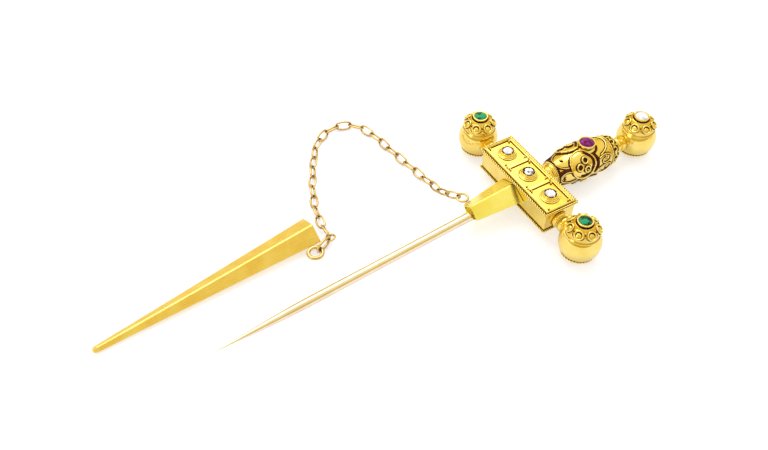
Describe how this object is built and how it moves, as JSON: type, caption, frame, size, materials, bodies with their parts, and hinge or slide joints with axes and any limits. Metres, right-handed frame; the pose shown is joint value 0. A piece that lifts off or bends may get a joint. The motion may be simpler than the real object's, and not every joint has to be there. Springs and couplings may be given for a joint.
{
  "type": "hat pin",
  "caption": "Sword-shaped jewelled gold hat pin with a long pointed stem, and a tapered scabbard hung from the blade's socket by a fine cable chain.",
  "frame": {"origin": "the middle of the guard's flat back face, which lies towards the cloth", "axes": "+X from the guard along the grip to the pommel, so the stem points along -X; +Y along the guard to the side where the chain is fixed; +Z out of the guard's jewelled front"},
  "size_m": [0.0902, 0.0448, 0.0076],
  "materials": {
    "yellow_gold": "polished yellow gold, darker in its recesses",
    "pale_gold": "polished pale gold",
    "satin_gold": "satin gold, brushed lengthwise",
    "emerald": "faceted green stone",
    "diamond": "faceted colourless stone",
    "ruby": "faceted purple-red stone"
  },
  "bodies": {
    "hilt": {"pin_stem": "pale_gold", "blade_socket": "yellow_gold", "socket_plug": "yellow_gold", "socket_eye": "yellow_gold", "guard_case": "yellow_gold", "guard_top_plate": "yellow_gold", "panel_frame": "yellow_gold", "guard_top_rope": "yellow_gold", "guard_bezel_left": "yellow_gold", "guard_bezel_centre": "yellow_gold", "guard_bezel_right": "yellow_gold", "guard_stone_left": "diamond", "guard_stone_centre": "diamond", "guard_stone_right": "diamond", "left_neck": "yellow_gold", "right_neck": "yellow_gold", "grip_neck": "yellow_gold", "pommel_neck": "yellow_gold", "left_ball": "yellow_gold", "right_ball": "yellow_gold", "pommel_ball": "yellow_gold", "left_bezel": "yellow_gold", "right_bezel": "yellow_gold", "pommel_bezel": "yellow_gold", "left_emerald": "emerald", "right_emerald": "emerald", "pommel_diamond": "diamond", "grip_barrel": "yellow_gold", "ruby_bezel": "yellow_gold", "ruby": "ruby"},
    "chain_link_01": {"chain_link_01": "pale_gold"},
    "chain_link_02": {"chain_link_02": "pale_gold"},
    "chain_link_03": {"chain_link_03": "pale_gold"},
    "chain_link_04": {"chain_link_04": "pale_gold"},
    "chain_link_05": {"chain_link_05": "pale_gold"},
    "chain_link_06": {"chain_link_06": "pale_gold"},
    "chain_link_07": {"chain_link_07": "pale_gold"},
    "chain_link_08": {"chain_link_08": "pale_gold"},
    "chain_link_09": {"chain_link_09": "pale_gold"},
    "chain_link_10": {"chain_link_10": "pale_gold"},
    "chain_link_11": {"chain_link_11": "pale_gold"},
    "chain_link_12": {"chain_link_12": "pale_gold"},
    "chain_link_13": {"chain_link_13": "pale_gold"},
    "chain_link_14": {"chain_link_14": "pale_gold"},
    "chain_link_15": {"chain_link_15": "pale_gold"},
    "chain_link_16": {"chain_link_16": "pale_gold"},
    "chain_link_17": {"chain_link_17": "pale_gold"},
    "chain_link_18": {"chain_link_18": "pale_gold"},
    "chain_link_19": {"chain_link_19": "pale_gold"},
    "chain_link_20": {"chain_link_20": "pale_gold"},
    "chain_link_21": {"chain_link_21": "pale_gold"},
    "chain_link_22": {"chain_link_22": "pale_gold"},
    "chain_link_23": {"chain_link_23": "pale_gold"},
    "chain_link_24": {"chain_link_24": "pale_gold"},
    "chain_link_25": {"chain_link_25": "pale_gold"},
    "round_link": {"round_link": "pale_gold"},
    "oval_link": {"oval_link": "pale_gold"},
    "scabbard": {"scabbard_shell": "satin_gold", "scabbard_tip": "satin_gold", "scabbard_eye": "satin_gold"}
  },
  "joints": [
    {"name": "chain_link_01_hinge", "type": "hinge", "parent": "hilt", "child": "chain_link_01", "pos_m": [-0.01017, 0.00331, 0.00165], "axis": [-0.8978, -0.4404, 0], "range_deg": [-45, 45]},
    {"name": "chain_link_02_hinge", "type": "hinge", "parent": "chain_link_01", "child": "chain_link_02", "pos_m": [-0.01106, 0.00509, 0.00084], "axis": [-0.1548, 0.3105, 0.9379], "range_deg": [-38, 45]},
    {"name": "chain_link_03_hinge", "type": "hinge", "parent": "chain_link_02", "child": "chain_link_03", "pos_m": [-0.0111, 0.00711, 0.00005], "axis": [0.9926, 0.002, -0.1215], "range_deg": [-45, 45]},
    {"name": "chain_link_04_hinge", "type": "hinge", "parent": "chain_link_03", "child": "chain_link_04", "pos_m": [-0.01114, 0.00921, -0.00045], "axis": [-0.2533, -0.2423, -0.9365], "range_deg": [-10, 45]},
    {"name": "chain_link_05_hinge", "type": "hinge", "parent": "chain_link_04", "child": "chain_link_05", "pos_m": [-0.01125, 0.01134, -0.00077], "axis": [-0.9257, 0.0117, 0.3781], "range_deg": [-45, 45]},
    {"name": "chain_link_06_hinge", "type": "hinge", "parent": "chain_link_05", "child": "chain_link_06", "pos_m": [-0.01155, 0.01347, -0.00085], "axis": [0.4907, 0.1036, 0.8651], "range_deg": [-45, 45]},
    {"name": "chain_link_07_hinge", "type": "hinge", "parent": "chain_link_06", "child": "chain_link_07", "pos_m": [-0.0119, 0.0156, -0.00082], "axis": [0.8537, 0.1459, -0.5], "range_deg": [-45, 45]},
    {"name": "chain_link_08_hinge", "type": "hinge", "parent": "chain_link_07", "child": "chain_link_08", "pos_m": [-0.01226, 0.01772, -0.00079], "axis": [-0.4953, -0.0694, -0.8659], "range_deg": [-45, 45]},
    {"name": "chain_link_09_hinge", "type": "hinge", "parent": "chain_link_08", "child": "chain_link_09", "pos_m": [-0.01254, 0.01986, -0.00079], "axis": [-0.8581, -0.1171, 0.5], "range_deg": [-45, 45]},
    {"name": "chain_link_10_hinge", "type": "hinge", "parent": "chain_link_09", "child": "chain_link_10", "pos_m": [-0.01279, 0.022, -0.00079], "axis": [0.4966, 0.0585, 0.866], "range_deg": [-45, 45]},
    {"name": "chain_link_11_hinge", "type": "hinge", "parent": "chain_link_10", "child": "chain_link_11", "pos_m": [-0.01316, 0.02412, -0.00079], "axis": [0.8537, 0.1454, -0.5], "range_deg": [-45, 45]},
    {"name": "chain_link_12_hinge", "type": "hinge", "parent": "chain_link_11", "child": "chain_link_12", "pos_m": [-0.01392, 0.02614, -0.00079], "axis": [-0.4706, -0.169, -0.866], "range_deg": [-45, 45]},
    {"name": "chain_link_13_hinge", "type": "hinge", "parent": "chain_link_12", "child": "chain_link_13", "pos_m": [-0.01531, 0.0278, -0.00079], "axis": [-0.6796, -0.5368, 0.5], "range_deg": [-45, 25]},
    {"name": "chain_link_14_hinge", "type": "hinge", "parent": "chain_link_13", "child": "chain_link_14", "pos_m": [-0.01739, 0.02845, -0.00079], "axis": [0.1703, 0.4701, 0.866], "range_deg": [-45, 25]},
    {"name": "chain_link_15_hinge", "type": "hinge", "parent": "chain_link_14", "child": "chain_link_15", "pos_m": [-0.01952, 0.02801, -0.00079], "axis": [-0.141, 0.8545, -0.5], "range_deg": [-45, 45]},
    {"name": "chain_link_16_hinge", "type": "hinge", "parent": "chain_link_15", "child": "chain_link_16", "pos_m": [-0.0214, 0.02693, -0.00079], "axis": [0.2382, -0.4396, -0.866], "range_deg": [-45, 45]},
    {"name": "chain_link_17_hinge", "type": "hinge", "parent": "chain_link_16", "child": "chain_link_17", "pos_m": [-0.02282, 0.0253, -0.00079], "axis": [0.6361, -0.5876, 0.5], "range_deg": [-45, 45]},
    {"name": "chain_link_18_hinge", "type": "hinge", "parent": "chain_link_17", "child": "chain_link_18", "pos_m": [-0.02403, 0.02352, -0.00079], "axis": [-0.4106, 0.2854, 0.866], "range_deg": [-45, 45]},
    {"name": "chain_link_19_hinge", "type": "hinge", "parent": "chain_link_18", "child": "chain_link_19", "pos_m": [-0.02512, 0.02166, -0.00079], "axis": [-0.7452, 0.4412, -0.5], "range_deg": [-45, 45]},
    {"name": "chain_link_20_hinge", "type": "hinge", "parent": "chain_link_19", "child": "chain_link_20", "pos_m": [-0.02615, 0.01976, -0.00079], "axis": [0.4382, -0.2409, -0.866], "range_deg": [-45, 45]},
    {"name": "chain_link_21_hinge", "type": "hinge", "parent": "chain_link_20", "child": "chain_link_21", "pos_m": [-0.02713, 0.01785, -0.00079], "axis": [0.7705, -0.3955, 0.5], "range_deg": [-45, 45]},
    {"name": "chain_link_22_hinge", "type": "hinge", "parent": "chain_link_21", "child": "chain_link_22", "pos_m": [-0.028, 0.01587, -0.00079], "axis": [-0.4569, 0.203, 0.866], "range_deg": [-45, 45]},
    {"name": "chain_link_23_hinge", "type": "hinge", "parent": "chain_link_22", "child": "chain_link_23", "pos_m": [-0.02872, 0.01384, -0.00081], "axis": [-0.8129, 0.2986, -0.5], "range_deg": [-45, 45]},
    {"name": "chain_link_24_hinge", "type": "hinge", "parent": "chain_link_23", "child": "chain_link_24", "pos_m": [-0.02928, 0.01176, -0.0008], "axis": [0.4813, -0.1356, -0.866], "range_deg": [-45, 45]},
    {"name": "chain_link_25_hinge", "type": "hinge", "parent": "chain_link_24", "child": "chain_link_25", "pos_m": [-0.02952, 0.00962, -0.00066], "axis": [0.8631, -0.0777, 0.4991], "range_deg": [-45, 45]},
    {"name": "round_link_hinge", "type": "hinge", "parent": "chain_link_25", "child": "round_link", "pos_m": [-0.02957, 0.00748, -0.00046], "axis": [-0.4972, 0.0946, 0.8625], "range_deg": [-40, 5]},
    {"name": "oval_link_hinge", "type": "hinge", "parent": "round_link", "child": "oval_link", "pos_m": [-0.03019, 0.00692, -0.00048], "axis": [-0.4134, 0.8865, -0.2079], "range_deg": [-45, 30]},
    {"name": "scabbard_hinge", "type": "hinge", "parent": "oval_link", "child": "scabbard", "pos_m": [-0.03231, 0.00593, -0.00048], "axis": [0, 0, -1], "range_deg": [-25, 15]}
  ]
}
